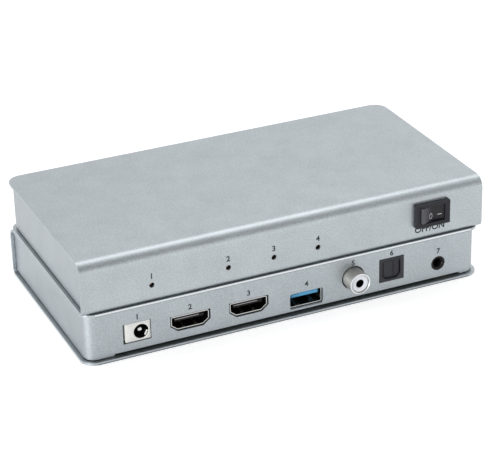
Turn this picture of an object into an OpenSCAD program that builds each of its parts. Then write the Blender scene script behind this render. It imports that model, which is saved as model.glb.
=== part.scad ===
// Two identical flat video capture units, stacked back to back: the lower one
// shows its sockets at the front, the upper one shows its lights and its switch.
// Each unit is drawn once, with its sockets towards -Y and its base at z = 0.

/* [Case] */
// Length of a unit, along X
body_w = 160; // [156:1:170]
// Depth of a unit, front to back
body_d = 82; // [80:1:96]
// Height of a unit
unit_h = 20.2; // [20:0.1:24]
// Thickness of the bent aluminium sheet
sheet = 1; // [0.8:0.1:1.2]
// Outside radius of the shell's bend at the top plate
bend_r = 4.5; // [3:0.1:5]
// Outside radius of the shell's bend at the bottom plate
base_bend_r = 2.2; // [1.6:0.1:4.5]
// Plan radius of the shell's free corners
corner_r = 5.5; // [4:0.5:8]
// How far the socket panel sits behind the shell's free edge
panel_inset = 1.5; // [1:0.1:2]
// How far the end walls sit inside the shell's ends
end_inset = 1.2; // [0.8:0.1:1.6]
// Outside radius of the inner frame's upright bends
frame_bend_r = 4.5; // [3:0.5:6]
// Height of the shallow cut along the socket panel's lower edge
notch_h = 0.7; // [0.4:0.1:1]

/* [Board] */
// Height of the circuit board's upper face above the unit's base
board_top = 5.2; // [5:0.1:5.4]
// Thickness of the circuit board
board_t = 1.6; // [1.2:0.2:1.6]
// Distance of the board screws from the board's ends
post_inset_x = 6; // [5:0.5:8]
// Distance of the board screws from the unit's long edges
post_inset_y = 8; // [8:0.5:9]

/* [Sockets] */
// Gap between the power socket and the board screw on its left
dc_gap = 2.5; // [1.5:0.05:3]
// Gap between the round audio socket and the board screw on its right
audio_gap = 0.6; // [0.5:0.1:2]
// Place of the first video socket, from the power socket (0) to the audio socket (1)
video_in_share = 0.1666; // [0.165:0.001:0.175]
// Place of the second video socket on the same scale
video_out_share = 0.3558; // [0.35:0.001:0.365]
// Place of the data socket on the same scale
data_share = 0.5468; // [0.54:0.001:0.55]
// Place of the coaxial socket on the same scale
coax_share = 0.7047; // [0.7:0.001:0.71]
// Place of the optical socket on the same scale
optical_share = 0.8368; // [0.835:0.001:0.845]
// How far the coaxial barrel stands out from the panel
coax_reach = 6; // [4:0.5:10]
// Radius of the coaxial barrel
coax_r = 4.15; // [4.1:0.05:4.2]
// Radius of the audio plug's hole
audio_bore_r = 1.8; // [1.76:0.02:1.85]

/* [Switch and lights] */
// Gap between the switch and the board screw on its left, seen from the socket side
switch_gap = 1.8; // [1.5:0.1:8]
// Height of the rocker switch's centre
switch_z = 10.5; // [10:0.1:11]
// Swing of the rocker to each side of its middle position
rock_angle = 9; // [8:1:12]
// Places of the four lights, as shares of half the unit's length
light_shares = [0.6688, 0.3013, 0.0775, -0.1431];
// Height of the lights
light_z = 6.75; // [6.6:0.05:7]

/* [Hidden] */
$fn = 64;

eps = 0.5;                 // overrun of a cutter past the face it cuts
gap = 0.05;                // play between pieces of one body that slide together
seam = 0.1;                // play between the frame and the shell's top plate

// Case
half_w = body_w / 2;
half_d = body_d / 2;
plate_top = sheet;
lid_z = unit_h - sheet;
panel_y = -half_d + panel_inset;
panel_back_y = panel_y + sheet;
frame_x = half_w - end_inset;
frame_in_x = frame_x - sheet;
wall_in_y = half_d - sheet;
frame_end_gap = 0.4;
frame_end_y = wall_in_y - frame_end_gap;
frame_top_r = bend_r - sheet;
frame_base_r = base_bend_r - sheet;
frame_lift = 0.4;
frame_z = plate_top + frame_lift;
frame_top = lid_z - seam;
notch_left_gap = 11.6;
notch_right_gap = 8.4;

// Flanges that the base screws hold
flange_w = 10;
flange_l = 12;
flange_set = sheet / 2;
flange_hole_inset = 5.8;
flange_hole_x = frame_x - flange_hole_inset;
nut_r = 2.5;
nut_h = 1.3;
screw_r = 1.45;
screw_hole_r = 1.5;
sunk_head_r = 2.6;
sunk_gap = 0.1;
sunk_play = 0.2;
base_screw_l = 3.1;
recess_r = 0.9;
recess_depth = 0.6;

// Board and its posts
board_z = board_top - board_t;
board_end_gap = 5;
board_w = body_w - 2 * board_end_gap;
board_wall_gap = 5;
board_front_y = half_d - board_wall_gap;
board_gap = 0.3;
board_back_y = panel_back_y + board_gap;
board_d = board_front_y - board_back_y;
board_mid_y = (board_front_y + board_back_y) / 2;
board_hole_r = 1.6;
post_x = board_w / 2 - post_inset_x;
post_y = half_d - post_inset_y;
post_r = 2.6;
post_bore_r = 1.25;
board_screw_r = 1.2;
board_screw_l = 3.8;
head_r = 2.5;
head_h = 1.6;
board_slot_w = 14.6;
board_slot_gap = 0.8;
flange_post_gap = 2.4;
flange_y = post_y - post_r - flange_post_gap - flange_l / 2;

// Places of the sockets along X
dc_w = 9.7;
audio_body_w = 7;
dc_x = -post_x + head_r + dc_gap + dc_w / 2;
audio_x = post_x - head_r - audio_gap - audio_body_w / 2;
row_l = audio_x - dc_x;
video_in_x = dc_x + video_in_share * row_l;
video_out_x = dc_x + video_out_share * row_l;
data_x = dc_x + data_share * row_l;
coax_x = dc_x + coax_share * row_l;
optical_x = dc_x + optical_share * row_l;

// Power socket
dc_z = 5.3;
dc_h = 7.35;
dc_play = 0.2;
dc_play_left = 0.8;
dc_play_low = 0.3;
dc_depth = 13;
dc_recess = 0.1;
dc_face_y = panel_y + dc_recess;
dc_bore_r = 2.8;
dc_bore_shift = 1.3;
dc_bore_x = dc_x + dc_bore_shift;
dc_bore_z = 8.75;
dc_bore_depth = 9.5;
dc_pin_r = 1.05;
dc_pin_l = 10.5;
dc_pin_recess = 1.2;
dc_leaf_w = 1.5;
dc_leaf_t = 0.35;
dc_leaf_l = 8;
dc_leaf_r = 2.2;
dc_leaf_angle = -20;
dc_slot_w = 2;
dc_slot_l = 2.2;

// Video sockets
video_z = 8.35;
video_half_w = 7.45;
video_half_h = 2.7;
video_bevel_w = 2.4;
video_bevel_h = 1.9;
video_wall = 0.4;
video_depth = 11;
video_recess = 0.45;
video_play = 0.4;
video_tongue_w = 11.8;
video_tongue_low = 0.1;
video_tongue_t = 1.4;
video_tongue_recess = 0.9;
video_block_l = 2.5;
foot_w = 1.2;
foot_l = 1.6;
foot_inset_y = 2.5;

// Data socket
data_z = 6.1;
data_w = 13.2;
data_h = 6;
data_wall = 0.4;
data_corner_r = 0.7;
data_depth = 17;
data_recess = 1;
data_play = 0.15;
data_tongue_w = 11.3;
data_tongue_t = 1.9;
data_tongue_top = 2.25;
data_tongue_recess = 0.7;
data_block_l = 5;
data_front_y = panel_y + data_recess;
board_slot_end_y = data_front_y + data_depth + board_slot_gap;

// Coaxial socket
coax_z = 10.3;
coax_play = 0.5;
coax_collar_r = 4.5;
coax_collar_proud = 0.1;
coax_wall = 0.6;
coax_front_y = panel_y - coax_reach;
coax_recess = 0.3;
coax_bore_r = 1.65;
coax_contact_r = 2.1;
coax_body_w = 10;
coax_body_h = 9.8;
coax_body_l = 9;
coax_tail_l = 7;

// Optical socket
optical_z = 10.1;
optical_w = 10.3;
optical_h = 9.7;
optical_depth = 13;
optical_proud = 0.1;
port_w = 7.6;
port_h = 7.8;
port_chamfer = 1.5;
port_depth = 10.2;
door_t = 0.8;
door_recess = 0.6;
door_play = 0.15;
door_pin_r = 0.45;
door_bore_r = 0.5;
door_pin_l = 0.7;
door_axis_drop = 0.6;
door_barrel_r = 0.55;
emitter_r = 1.3;
emitter_l = 1.5;

// Audio socket
audio_z = 7.9;
audio_nose_r = 2.8;
audio_hole_r = 2.9;
audio_recess = 0.1;
audio_body_l = 12;
audio_body_top = 11.3;
audio_bore_l = 12;

// Rocker switch
bezel_w = 14.2;
bezel_h = 9.4;
bezel_t = 2;
bezel_r = 0.25;
switch_body_w = 13.2;
switch_x = -post_x + head_r + switch_gap + switch_body_w / 2;
switch_body_h = 8.2;
switch_body_l = 13;
switch_play = 0.1;
well_w = 10.4;
well_h = 6.6;
well_depth = 6.5;
rocker_r = 5.05;
rocker_h = 6.3;
rocker_crest = 0.6;
rocker_back = -2;
rocker_leg_w = 2.4;
rocker_leg_l = 1.5;
pivot_out = 0.3;
pivot_y = half_d + pivot_out;
pivot_r = 0.8;
pivot_bore_r = 0.85;
pivot_l = 0.75;
pivot_bore_l = 0.8;
blade_w = 0.8;
blade_h = 3.2;
blade_l = 7;
blade_x = 3.5;
wire_r = 0.8;
wire_run = 4;
wire_bend_r = 2.5;

// Lights
light_hole_r = 1;
light_lens_r = 0.85;
light_lens_l = 3.6;
light_base_w = 3;
light_base_l = 4;
light_base_h = 3.1;

// Parts on the board, each [x, y, width, depth, height], with x and y as shares of the
// board's length and depth from its middle
video_chip = [-0.133, 0.096, 19, 19, 1.6];
small_chips = [
  [-0.26, -0.241, 10, 10, 1], [-0.107, -0.241, 9, 9, 1], [0.133, -0.093, 12, 12, 1.2],
  [0.013, 0.042, 8, 12, 1], [0.013, 0.257, 8, 12, 1], [0.333, -0.187, 7, 7, 1],
  [0.253, 0.123, 14, 10, 1.4], [-0.3, 0.284, 6, 5, 1.5]
];
coil_places = [[-0.333, -0.174], [-0.333, 0.042]];
coil_w = 7.3;
coil_h = 4;
coil_r = 1.5;
cap_places = [[-0.407, -0.147], [-0.407, 0.069], [0.387, -0.039], [0.387, 0.123], [0.2, 0.338]];
cap_r = 3.1;
cap_h = 7.6;
cap_base_w = 6.6;
cap_base_h = 0.9;
fin_base_h = 2;
fin_h = 6;
fin_t = 1;
fin_count = 7;

// Places a part in the lower unit
module at_lower() {
  children();
}

// Places a part in the upper unit, which is turned round and stands on the lower one
module at_upper() {
  translate([0, 0, unit_h]) rotate([0, 0, 180]) children();
}

// Bar along Z that rounds the edge of a block, in the corner where x and y are positive
module edge_cut(r, length) {
  difference() {
    cube([r + eps, r + eps, length]);
    translate([0, 0, -eps]) cylinder(r = r, h = length + 2 * eps);
  }
}

// Plate in the XZ plane with round corners, from y = 0 towards +Y
module round_plate(w, h, depth, r) {
  translate([-w / 2 + r, 0, -h / 2]) cube([w - 2 * r, depth, h]);
  translate([-w / 2, 0, -h / 2 + r]) cube([w, depth, h - 2 * r]);
  for (sx = [-1, 1], sz = [-1, 1])
    translate([sx * (w / 2 - r), 0, sz * (h / 2 - r)]) rod_y(r, depth);
}

// Round bar along Y, from y = 0 towards +Y
module rod_y(r, length) {
  rotate([-90, 0, 0]) cylinder(r = r, h = length);
}

// Block centred on x and z, from y = 0 towards +Y
module block_y(w, length, h) {
  translate([-w / 2, 0, -h / 2]) cube([w, length, h]);
}

// Block centred on x and y, standing on z = 0
module block_z(w, d, h) {
  translate([-w / 2, -d / 2, 0]) cube([w, d, h]);
}

// Bar along Y with the given outline in the XZ plane
module bar_y(outline, length) {
  translate([0, length, 0]) rotate([90, 0, 0]) linear_extrude(length) polygon(outline);
}

// Outline of a video socket, with its two lower corners cut
function video_outline(grow) = [
  [-video_half_w - grow, video_half_h + grow],
  [-video_half_w - grow, -video_half_h + video_bevel_h],
  [-video_half_w + video_bevel_w, -video_half_h - grow],
  [video_half_w - video_bevel_w, -video_half_h - grow],
  [video_half_w + grow, -video_half_h + video_bevel_h],
  [video_half_w + grow, video_half_h + grow]
];

// Outline of the optical port, with its two lower corners cut
function port_outline(w, h, cut) = [
  [-w / 2, h / 2],
  [-w / 2, -h / 2 + cut],
  [-w / 2 + cut, -h / 2],
  [w / 2 - cut, -h / 2],
  [w / 2, -h / 2 + cut],
  [w / 2, h / 2]
];

// Place on the board's upper face of a part given by its two shares
function on_board(p) = [p[0] * board_w, board_mid_y + p[1] * board_d, board_top];

// The four flange screws' places
module at_flange_holes() {
  for (sx = [-1, 1], sy = [-1, 1])
    translate([sx * flange_hole_x, sy * flange_y, 0]) children();
}

// The four board screws' places
module at_posts() {
  for (sx = [-1, 1], sy = [-1, 1])
    translate([sx * post_x, sy * post_y, 0]) children();
}

// Block open on one side, whose two long edges at +Y are bends
module bent_block(w, y0, y1, z0, z1, top_r, base_r) {
  difference() {
    translate([-w / 2, y0, z0]) cube([w, y1 - y0, z1 - z0]);
    long_edge_cuts(w, y1, z0, z1, top_r, base_r);
  }
}

// Cutters that round a block's two long edges at +Y
module long_edge_cuts(w, y1, z0, z1, top_r, base_r) {
  translate([-w / 2 - eps, y1 - top_r, z1 - top_r]) rotate([90, 0, 90]) edge_cut(top_r, w + 2 * eps);
  translate([-w / 2 - eps, y1 - base_r, z0 + base_r]) rotate([90, 0, 90]) rotate([0, 0, -90])
    edge_cut(base_r, w + 2 * eps);
}

// Bent sheet: top plate, closed wall and bottom plate
module shell() color("#b4bec4") {
  difference() {
    bent_block(body_w, -half_d, half_d, 0, unit_h, bend_r, base_bend_r);
    bent_block(body_w + 2 * eps, -half_d - eps, wall_in_y, sheet, lid_z, bend_r - sheet,
               base_bend_r - sheet);
    for (sx = [-1, 1])
      translate([sx * (half_w - corner_r), -half_d + corner_r, -eps])
        rotate([0, 0, sx < 0 ? 180 : -90]) edge_cut(corner_r, unit_h + 2 * eps);
    translate([switch_x, wall_in_y - eps, switch_z])
      block_y(switch_body_w + 2 * switch_play, sheet + 2 * eps, switch_body_h + 2 * switch_play);
    for (share = light_shares)
      translate([share * half_w, wall_in_y - eps, light_z]) rod_y(light_hole_r, sheet + 2 * eps);
    at_flange_holes() {
      translate([0, 0, -eps]) cylinder(r = screw_hole_r + gap, h = sheet + 2 * eps);
      cylinder(r1 = sunk_head_r + sunk_play, r2 = screw_hole_r + gap, h = sheet);
    }
  }
}

// Rectangular block with round upright corners at its -Y end
module frame_block(half_x, y0, y1, z0, z1, r) {
  difference() {
    translate([-half_x, y0, z0]) cube([2 * half_x, y1 - y0, z1 - z0]);
    for (sx = [-1, 1])
      translate([sx * (half_x - r), y0 + r, z0 - eps])
        rotate([0, 0, sx < 0 ? 180 : -90]) edge_cut(r, z1 - z0 + 2 * eps);
  }
}

// Inner bent frame: socket panel, two end walls and four flanges with press nuts
module port_frame() color("#b0babf") {
  difference() {
    union() {
      difference() {
        frame_block(frame_x, panel_y, frame_end_y, frame_z, frame_top, frame_bend_r);
        frame_block(frame_in_x, panel_back_y, frame_end_y + eps, frame_z - eps, lid_z + eps,
                    frame_bend_r - sheet);
        long_edge_cuts(2 * frame_x, frame_end_y, frame_z, frame_top, frame_top_r, frame_base_r);
      }
      for (sx = [-1, 1], sy = [-1, 1])
        translate([sx * (frame_x - flange_set - flange_w / 2), sy * flange_y, plate_top])
          block_z(flange_w, flange_l, sheet);
      at_flange_holes() translate([0, 0, plate_top]) cylinder(r = nut_r, h = sheet + nut_h);
    }
    at_flange_holes() translate([0, 0, plate_top - eps])
      cylinder(r = screw_hole_r, h = sheet + nut_h + 2 * eps);
    translate([-half_w + notch_left_gap, panel_y - eps, frame_z - eps])
      cube([body_w - notch_left_gap - notch_right_gap, sheet + 2 * eps, notch_h + eps]);
    translate([0, panel_y - eps, 0]) panel_holes();
  }
}

// Cutters for the socket panel's holes
module panel_holes() {
  cut_l = sheet + 2 * eps;
  translate([dc_x - dc_w / 2 - dc_play_left, 0, dc_z - dc_play_low])
    cube([dc_w + dc_play_left + dc_play, cut_l, dc_h + dc_play_low + dc_play]);
  for (x = [video_in_x, video_out_x]) translate([x, 0, video_z]) bar_y(video_outline(video_play), cut_l);
  translate([data_x, 0, data_z])
    round_plate(data_w + 2 * data_play, data_h + 2 * data_play, cut_l, data_corner_r + data_play);
  translate([coax_x, 0, coax_z]) rod_y(coax_r + coax_play, cut_l);
  translate([optical_x, 0, optical_z]) block_y(optical_w + 2 * gap, cut_l, optical_h + 2 * gap);
  translate([audio_x, 0, audio_z]) rod_y(audio_hole_r, cut_l);
}

// Circuit board, with a slot for the sunk data socket
module main_board() color("#1f5a34") {
  difference() {
    translate([-board_w / 2, board_back_y, board_z]) cube([board_w, board_d, board_t]);
    at_posts() translate([0, 0, board_z - eps]) cylinder(r = board_hole_r, h = board_t + 2 * eps);
    translate([data_x - board_slot_w / 2, board_back_y - eps, board_z - eps])
      cube([board_slot_w, board_slot_end_y - board_back_y + eps, board_t + 2 * eps]);
  }
}

// Round posts pressed into the bottom plate
module standoffs() color("#c9b37a") {
  at_posts() difference() {
    translate([0, 0, plate_top]) cylinder(r = post_r, h = board_z - plate_top);
    translate([0, 0, plate_top - eps]) cylinder(r = post_bore_r, h = board_z - plate_top + 2 * eps);
  }
}

// Pan-head screws that hold the board, with a cross recess
module board_screws() color("#9a9da0") {
  at_posts() translate([0, 0, board_top]) difference() {
    union() {
      cylinder(r = head_r, h = head_h);
      translate([0, 0, -board_screw_l]) cylinder(r = board_screw_r, h = board_screw_l + gap);
    }
    translate([0, 0, head_h - recess_depth]) cross_recess();
  }
}

// Cutter for a cross recess, upwards from z = 0
module cross_recess() {
  block_z(2 * recess_r, recess_r / 2, recess_depth + eps);
  block_z(recess_r / 2, 2 * recess_r, recess_depth + eps);
}

// Countersunk screws in the bottom plate
module base_screws() color("#9a9da0") {
  at_flange_holes() translate([0, 0, sunk_gap]) difference() {
    union() {
      cylinder(r1 = sunk_head_r, r2 = screw_r, h = sheet - sunk_gap);
      cylinder(r = screw_r, h = base_screw_l);
    }
    translate([0, 0, recess_depth]) mirror([0, 0, 1]) cross_recess();
  }
}

// Power socket's moulding
module dc_body() color("#e6e6e0") {
  difference() {
    translate([dc_x, dc_face_y, dc_z + dc_h / 2]) block_y(dc_w, dc_depth, dc_h);
    translate([dc_bore_x, dc_face_y - eps, dc_bore_z]) rod_y(dc_bore_r, dc_bore_depth + eps);
    translate([dc_bore_x, dc_face_y + dc_bore_depth - eps, dc_bore_z]) rod_y(dc_pin_r, dc_depth);
    translate([dc_bore_x, dc_face_y - eps, dc_bore_z]) rotate([0, -dc_leaf_angle, 0])
      translate([dc_leaf_r + dc_slot_l / 2, 0, 0]) block_y(dc_slot_l, dc_bore_depth + eps, dc_slot_w);
  }
}

// Centre pin and side spring of the power socket
module dc_contacts() color("#c8cacb") {
  pin_y = dc_face_y + dc_pin_recess;
  translate([dc_bore_x, pin_y + dc_pin_r, dc_bore_z]) {
    rod_y(dc_pin_r, dc_pin_l - dc_pin_r);
    sphere(r = dc_pin_r);
  }
  translate([dc_bore_x, dc_face_y + dc_pin_recess / 2, dc_bore_z]) rotate([0, -dc_leaf_angle, 0])
    translate([dc_leaf_r + dc_leaf_t / 2, 0, 0]) block_y(dc_leaf_t, dc_leaf_l, dc_leaf_w);
}

// Metal shell of a video socket, with four feet on the board
module video_shell(x) color("#d4d6d6") {
  front_y = panel_y + video_recess;
  difference() {
    translate([x, front_y, video_z]) bar_y(video_outline(0), video_depth);
    translate([x, front_y - eps, video_z]) bar_y(video_outline(-video_wall), video_depth + 2 * eps);
  }
  for (sx = [-1, 1], y = [panel_back_y + foot_inset_y, front_y + video_depth - foot_inset_y])
    translate([x + sx * (video_half_w - video_wall / 2), y, board_top])
      block_z(video_wall, foot_l, video_z - board_top);
}

// Black tongue and rear block of a video socket
module video_tongue(x) color("#17171a") {
  front_y = panel_y + video_recess;
  tongue_y = front_y + video_tongue_recess;
  block_start_y = front_y + video_depth - video_block_l;
  translate([x - video_tongue_w / 2, tongue_y, video_z + video_tongue_low])
    cube([video_tongue_w, block_start_y - tongue_y + gap, video_tongue_t]);
  translate([x, block_start_y, video_z]) bar_y(video_outline(-video_wall - gap), video_block_l);
}

module video_in_shell() video_shell(video_in_x);

module video_in_tongue() video_tongue(video_in_x);

module video_out_shell() video_shell(video_out_x);

module video_out_tongue() video_tongue(video_out_x);

// Metal shell of the data socket, sunk into the board's slot on two side wings
module data_shell() color("#cfd1d2") {
  inner_w = data_w - 2 * data_wall;
  inner_h = data_h - 2 * data_wall;
  difference() {
    translate([data_x, data_front_y, data_z]) round_plate(data_w, data_h, data_depth, data_corner_r);
    translate([data_x, data_front_y - eps, data_z])
      round_plate(inner_w, inner_h, data_depth + 2 * eps, data_corner_r - data_wall);
  }
  for (sx = [-1, 1])
    translate([data_x + sx * (data_w / 2 + foot_w / 2 - gap), data_front_y + data_depth / 2, board_top])
      block_z(foot_w, foot_l, data_wall);
}

// Blue tongue of the data socket and its rear block
module data_tongue() color("#2f6fae") {
  block_start_y = data_front_y + data_depth - data_block_l;
  block_w = data_w - 2 * data_wall - 2 * gap;
  block_h = data_h - 2 * data_wall - 2 * gap;
  tongue_y = data_front_y + data_tongue_recess;
  translate([data_x - data_tongue_w / 2, tongue_y, data_z + data_tongue_top - data_tongue_t])
    cube([data_tongue_w, block_start_y - tongue_y + gap, data_tongue_t]);
  translate([data_x, block_start_y, data_z])
    round_plate(block_w, block_h, data_block_l, data_corner_r - data_wall);
}

// Black moulding that holds the coaxial barrel
module coax_body() color("#202022") {
  difference() {
    translate([coax_x, panel_back_y + gap, board_top + coax_body_h / 2])
      block_y(coax_body_w, coax_body_l, coax_body_h);
    translate([coax_x, panel_back_y - eps, coax_z]) rod_y(coax_r + gap, coax_body_l - sheet);
    translate([coax_x, panel_back_y, coax_z]) rod_y(coax_contact_r + gap, coax_body_l + sheet);
  }
}

// Metal barrel of the coaxial socket, with a collar in the panel's hole
module coax_barrel() color("#8f9394") {
  length = panel_back_y + coax_tail_l - coax_front_y;
  collar_start = coax_reach - coax_collar_proud;
  translate([coax_x, coax_front_y, coax_z]) difference() {
    union() {
      rod_y(coax_r, length);
      translate([0, collar_start, 0]) rod_y(coax_collar_r, coax_collar_proud + sheet);
    }
    translate([0, -eps, 0]) rod_y(coax_r - coax_wall, length + 2 * eps);
  }
}

// White insulator ring inside the barrel
module coax_insulator() color("#f2f2f0") {
  start_y = coax_front_y + coax_recess;
  length = panel_back_y + coax_tail_l - start_y;
  translate([coax_x, start_y, coax_z]) difference() {
    rod_y(coax_r - coax_wall - gap, length);
    translate([0, -eps, 0]) rod_y(coax_bore_r, length + 2 * eps);
    translate([0, sheet, 0]) rod_y(coax_contact_r + gap, length + 2 * eps);
  }
}

// Sleeve that grips the plug's centre pin
module coax_contact() color("#b9a468") {
  start_y = coax_front_y + coax_recess + sheet + gap;
  length = panel_back_y + coax_body_l - start_y;
  translate([coax_x, start_y, coax_z]) difference() {
    rod_y(coax_contact_r, length);
    translate([0, -eps, 0]) rod_y(coax_bore_r, length + 2 * eps);
  }
}

// Moulding of the optical socket, with its light source at the port's end
module optical_body() color("#2a2b2d") {
  front_y = panel_y - optical_proud;
  axis_y = front_y + door_recess + door_t - door_pin_r;
  axis_z = optical_z + port_h / 2 - door_axis_drop;
  difference() {
    translate([optical_x, front_y, optical_z]) block_y(optical_w, optical_depth, optical_h);
    translate([optical_x, front_y - eps, optical_z])
      bar_y(port_outline(port_w, port_h, port_chamfer), port_depth + eps);
    translate([optical_x - port_w / 2 - door_pin_l - gap, axis_y, axis_z])
      rotate([0, 90, 0]) cylinder(r = door_bore_r, h = port_w + 2 * door_pin_l + 2 * gap);
  }
  translate([optical_x, front_y + port_depth - emitter_l, optical_z]) rod_y(emitter_r, emitter_l + gap);
}

// Hinged flap that closes the optical port and swings inwards
module optical_door() color("#35363a") {
  front_y = panel_y - optical_proud;
  flap_y = front_y + door_recess;
  axis_y = flap_y + door_t - door_pin_r;
  axis_z = optical_z + port_h / 2 - door_axis_drop;
  flap_w = port_w - 2 * door_play;
  flap_top = axis_z;
  flap_h = flap_top - (optical_z - port_h / 2 + door_play);
  translate([optical_x, flap_y, flap_top - flap_h / 2])
    bar_y(port_outline(flap_w, flap_h, port_chamfer), door_t);
  translate([optical_x - flap_w / 2, axis_y, axis_z]) rotate([0, 90, 0])
    cylinder(r = door_barrel_r, h = flap_w);
  translate([optical_x - port_w / 2 - door_pin_l, axis_y, axis_z])
    rotate([0, 90, 0]) cylinder(r = door_pin_r, h = port_w + 2 * door_pin_l);
}

// Round audio socket: threadless nose through the panel and a block on the board
module audio_jack() color("#161617") {
  nose_y = panel_y + audio_recess;
  body_h = audio_body_top - board_top;
  difference() {
    union() {
      translate([audio_x, nose_y, audio_z]) rod_y(audio_nose_r, sheet - audio_recess + 2 * gap);
      translate([audio_x, panel_back_y + gap, board_top + body_h / 2])
        block_y(audio_body_w, audio_body_l, body_h);
    }
    translate([audio_x, nose_y - eps, audio_z]) rod_y(audio_bore_r, audio_bore_l + eps);
  }
}

// Switch housing: outer bezel, body behind the wall and the rocker's well
module switch_housing() color("#26262a") {
  translate([switch_x, 0, switch_z]) difference() {
    union() {
      translate([0, half_d, 0]) round_plate(bezel_w, bezel_h, bezel_t, bezel_r);
      translate([0, half_d - switch_body_l, 0]) block_y(switch_body_w, switch_body_l + gap, switch_body_h);
    }
    translate([0, half_d + bezel_t - well_depth, 0]) block_y(well_w, well_depth + eps, well_h);
    translate([0, pivot_y, -well_h / 2 - pivot_bore_l])
      cylinder(r = pivot_bore_r, h = well_h + 2 * pivot_bore_l);
  }
}

// Rocker with two sloping faces, a round back and a pivot pin; it lies tilted to one side
module switch_rocker() color("#303034") {
  end_rise = rocker_crest + rocker_r * tan(rock_angle);
  translate([switch_x, pivot_y, switch_z]) rotate([0, 0, rock_angle]) {
    intersection() {
      translate([0, 0, -rocker_h / 2]) cylinder(r = rocker_r, h = rocker_h);
      translate([0, 0, -rocker_h / 2]) linear_extrude(rocker_h) polygon([
        [-rocker_r, rocker_back], [rocker_r, rocker_back], [rocker_r, end_rise], [0, rocker_crest],
        [-rocker_r, end_rise]
      ]);
    }
    translate([0, rocker_back - rocker_leg_l / 2 + gap, -rocker_h / 2])
      block_z(rocker_leg_w, rocker_leg_l, rocker_h);
    translate([0, 0, -rocker_h / 2 - pivot_l]) cylinder(r = pivot_r, h = rocker_h + 2 * pivot_l);
  }
}

// Two blades at the back of the switch
module switch_terminals() color("#c8cacb") {
  for (sx = [-1, 1])
    translate([switch_x + sx * blade_x, half_d - switch_body_l - blade_l, switch_z])
      block_y(blade_w, blade_l, blade_h);
}

// Two short wires from the blades down to the board
module switch_wires() color("#a83228") {
  start_y = half_d - switch_body_l - blade_l;
  bend_y = start_y - wire_run;
  for (sx = [-1, 1]) translate([switch_x + sx * blade_x, 0, 0]) {
    translate([0, bend_y, switch_z]) rod_y(wire_r, wire_run);
    translate([0, bend_y, switch_z - wire_bend_r]) rotate([0, 90, 0]) rotate([0, 0, 180])
      rotate_extrude(angle = 90) translate([wire_bend_r, 0]) circle(r = wire_r);
    translate([0, bend_y - wire_bend_r, board_top])
      cylinder(r = wire_r, h = switch_z - wire_bend_r - board_top);
  }
}

// Four right-angle lights, each with a lens behind its hole
module lights() color("#c9d2c0") {
  for (share = light_shares) translate([share * half_w, 0, 0]) {
    translate([0, board_front_y - light_base_l / 2, board_top])
      block_z(light_base_w, light_base_l, light_base_h);
    translate([0, board_front_y - gap, light_z]) rod_y(light_lens_r, light_lens_l);
  }
}

// Flat chips on the board
module chips() color("#1a1a1c") {
  for (c = concat([video_chip], small_chips))
    translate(on_board(c)) block_z(c[2], c[3], c[4]);
}

// Finned heat sink on the video chip
module heat_sink() color("#8a9096") {
  pitch = (video_chip[2] - fin_t) / (fin_count - 1);
  translate(on_board(video_chip)) translate([0, 0, video_chip[4]]) {
    block_z(video_chip[2], video_chip[3], fin_base_h);
    for (i = [0 : fin_count - 1])
      translate([-video_chip[2] / 2 + fin_t / 2 + i * pitch, 0, fin_base_h - gap])
        block_z(fin_t, video_chip[3], fin_h);
  }
}

// Round capacitors on square feet
module capacitors() color("#b9bcc0") {
  for (p = cap_places) translate(on_board(p)) {
    block_z(cap_base_w, cap_base_w, cap_base_h);
    translate([0, 0, cap_base_h - gap]) cylinder(r = cap_r, h = cap_h);
  }
}

// Square coils with round corners
module coils() color("#3a3b3d") {
  for (p = coil_places) translate(on_board(p)) translate([0, 0, coil_h]) rotate([-90, 0, 0])
    round_plate(coil_w, coil_w, coil_h, coil_r);
}

at_lower() shell();  // lower_shell
at_lower() port_frame();  // lower_port_frame
at_lower() main_board();  // lower_main_board
at_lower() standoffs();  // lower_standoffs
at_lower() board_screws();  // lower_board_screws
at_lower() base_screws();  // lower_base_screws
at_lower() dc_body();  // lower_dc_body
at_lower() dc_contacts();  // lower_dc_contacts
at_lower() video_in_shell();  // lower_video_in_shell
at_lower() video_in_tongue();  // lower_video_in_tongue
at_lower() video_out_shell();  // lower_video_out_shell
at_lower() video_out_tongue();  // lower_video_out_tongue
at_lower() data_shell();  // lower_data_shell
at_lower() data_tongue();  // lower_data_tongue
at_lower() coax_body();  // lower_coax_body
at_lower() coax_barrel();  // lower_coax_barrel
at_lower() coax_insulator();  // lower_coax_insulator
at_lower() coax_contact();  // lower_coax_contact
at_lower() optical_body();  // lower_optical_body
at_lower() optical_door();  // lower_optical_door
at_lower() audio_jack();  // lower_audio_jack
at_lower() switch_housing();  // lower_switch_housing
at_lower() switch_rocker();  // lower_switch_rocker
at_lower() switch_terminals();  // lower_switch_terminals
at_lower() lights();  // lower_lights
at_lower() chips();  // lower_chips
at_lower() heat_sink();  // lower_heat_sink
at_lower() capacitors();  // lower_capacitors
at_lower() coils();  // lower_coils
at_lower() switch_wires();  // lower_switch_wires
at_upper() shell();  // upper_shell
at_upper() port_frame();  // upper_port_frame
at_upper() main_board();  // upper_main_board
at_upper() standoffs();  // upper_standoffs
at_upper() board_screws();  // upper_board_screws
at_upper() base_screws();  // upper_base_screws
at_upper() dc_body();  // upper_dc_body
at_upper() dc_contacts();  // upper_dc_contacts
at_upper() video_in_shell();  // upper_video_in_shell
at_upper() video_in_tongue();  // upper_video_in_tongue
at_upper() video_out_shell();  // upper_video_out_shell
at_upper() video_out_tongue();  // upper_video_out_tongue
at_upper() data_shell();  // upper_data_shell
at_upper() data_tongue();  // upper_data_tongue
at_upper() coax_body();  // upper_coax_body
at_upper() coax_barrel();  // upper_coax_barrel
at_upper() coax_insulator();  // upper_coax_insulator
at_upper() coax_contact();  // upper_coax_contact
at_upper() optical_body();  // upper_optical_body
at_upper() optical_door();  // upper_optical_door
at_upper() audio_jack();  // upper_audio_jack
at_upper() switch_housing();  // upper_switch_housing
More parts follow.
